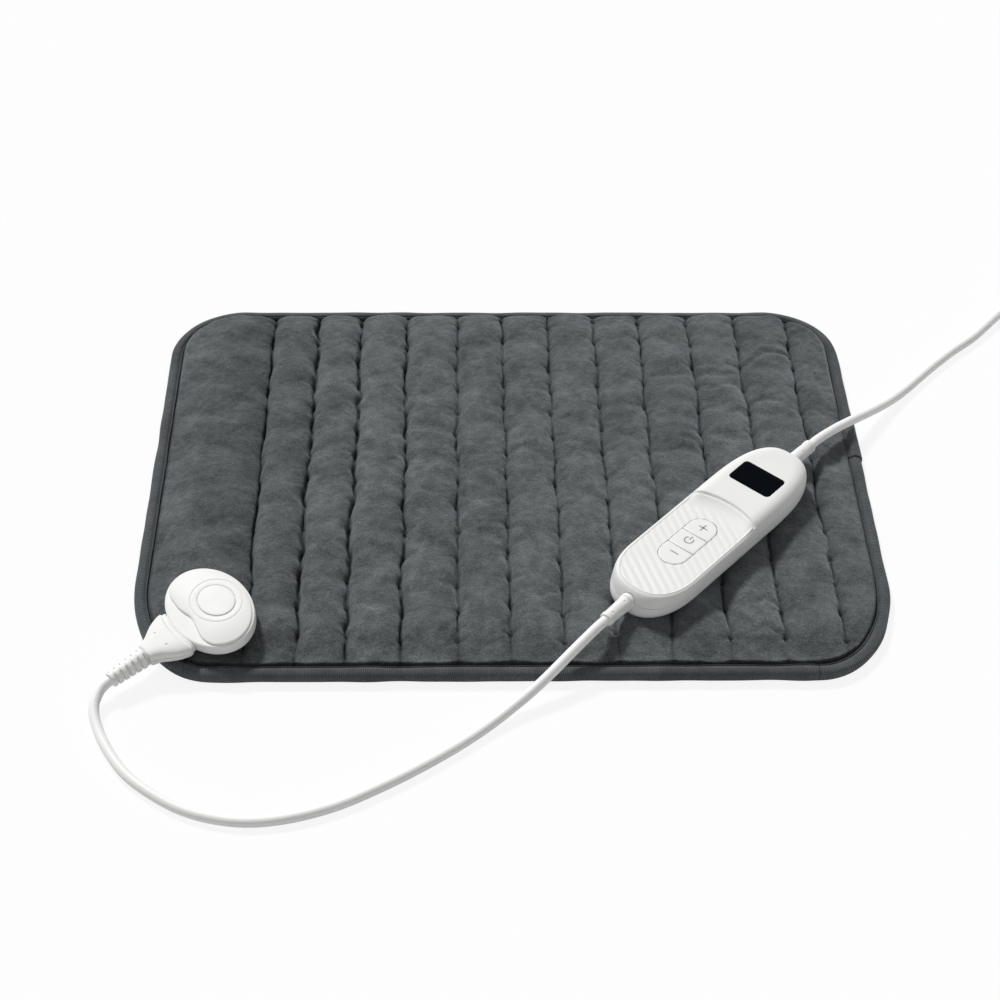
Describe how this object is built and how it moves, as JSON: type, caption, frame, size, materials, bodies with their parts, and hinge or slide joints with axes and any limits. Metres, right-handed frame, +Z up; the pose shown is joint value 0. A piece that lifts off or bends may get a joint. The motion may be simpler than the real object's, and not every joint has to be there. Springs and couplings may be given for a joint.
{
  "type": "heating pad with controller",
  "caption": "Quilted plush electric heating pad with a plug-in corner connector, a wired controller with keys and a display window, and a coiled mains lead with a two-pin plug.",
  "frame": {"origin": "centre of the pad's underside, on the surface it lies on", "axes": "+X along the pad's long side towards the side where the controller and mains lead are, +Y away from the user towards the pad's back edge, +Z up"},
  "size_m": [0.6098, 0.424, 0.0308],
  "materials": {
    "plush": "short-pile plush, dark grey",
    "binding_tape": "woven tape, darker grey",
    "wadding": "polyester wadding, white",
    "felt": "needle felt, undyed",
    "wire_cover": "insulated covering, smooth",
    "safety_part": "moulded case, satin",
    "white_plastic": "moulded, white, satin to gloss",
    "key_plastic": "moulded, white, satin",
    "inner_plastic": "moulded, off-white, matt",
    "black_plastic": "moulded, black",
    "display_glass": "smoked window, high gloss, unlit",
    "circuit_board": "glass-fibre board with green resist",
    "relay_case": "moulded, blue",
    "fuse_glass": "clear tube",
    "contact_brass": "plated brass",
    "steel": "zinc-plated screws",
    "cord_cover": "smooth white PVC, satin"
  },
  "bodies": {
    "pad_and_controller": {"socket_housing": "white_plastic", "socket_cover": "white_plastic", "socket_disc": "white_plastic", "socket_contact_1": "contact_brass", "socket_contact_2": "contact_brass", "socket_contact_3": "contact_brass", "socket_screw_1": "steel", "socket_screw_2": "steel", "controller_bottom_shell": "white_plastic", "controller_top_shell": "white_plastic", "display_window": "display_glass", "circuit_board": "circuit_board", "switch_minus": "black_plastic", "switch_power": "black_plastic", "switch_plus": "black_plastic", "display_module": "black_plastic", "power_relay": "relay_case", "capacitor": "wire_cover", "fuse": "fuse_glass", "controller_screw_1": "steel", "controller_screw_2": "steel", "controller_screw_3": "steel", "controller_screw_4": "steel", "bush_pad_lead": "white_plastic", "cord_cradle_pad": "inner_plastic", "bush_mains_lead": "white_plastic", "cord_cradle_mains": "inner_plastic", "mains_strain_relief": "cord_cover", "mains_plug_body": "cord_cover", "mains_plug_pin_1": "contact_brass", "mains_plug_pin_2": "contact_brass", "edge_binding": "binding_tape", "bottom_cover": "plush", "carrier_felt": "felt", "top_cover": "plush", "upper_padding": "wadding", "heating_wire": "wire_cover", "thermal_cutout_left": "safety_part", "thermal_cutout_right": "safety_part", "temperature_sensor": "black_plastic", "socket_base": "inner_plastic", "pad_lead": "cord_cover", "mains_lead": "cord_cover", "mains_coil": "cord_cover", "coil_tie": "black_plastic"},
    "plug": {"plug_lower_shell": "white_plastic", "plug_upper_shell": "white_plastic", "plug_tongue": "inner_plastic", "plug_contact_1": "contact_brass", "plug_contact_2": "contact_brass", "plug_contact_3": "contact_brass", "plug_strain_relief": "cord_cover"},
    "minus_button": {"key_minus": "key_plastic"},
    "power_button": {"key_power": "key_plastic"},
    "plus_button": {"key_plus": "key_plastic"}
  },
  "joints": [
    {"name": "plug_pull", "type": "slide", "parent": "pad_and_controller", "child": "plug", "axis": [-0.7547, -0.6446, -0.1219], "range_m": [0, 0.016], "deforming": ["pad_lead"]},
    {"name": "minus_press", "type": "slide", "parent": "pad_and_controller", "child": "minus_button", "axis": [0, 0, -1], "range_m": [0, 0.0007], "stiffness_N_per_m": 800, "springref_m": -0.0004},
    {"name": "power_press", "type": "slide", "parent": "pad_and_controller", "child": "power_button", "axis": [0, 0, -1], "range_m": [0, 0.0007], "stiffness_N_per_m": 800, "springref_m": -0.0004},
    {"name": "plus_press", "type": "slide", "parent": "pad_and_controller", "child": "plus_button", "axis": [0, 0, -1], "range_m": [0, 0.0007], "stiffness_N_per_m": 800, "springref_m": -0.0004}
  ]
}
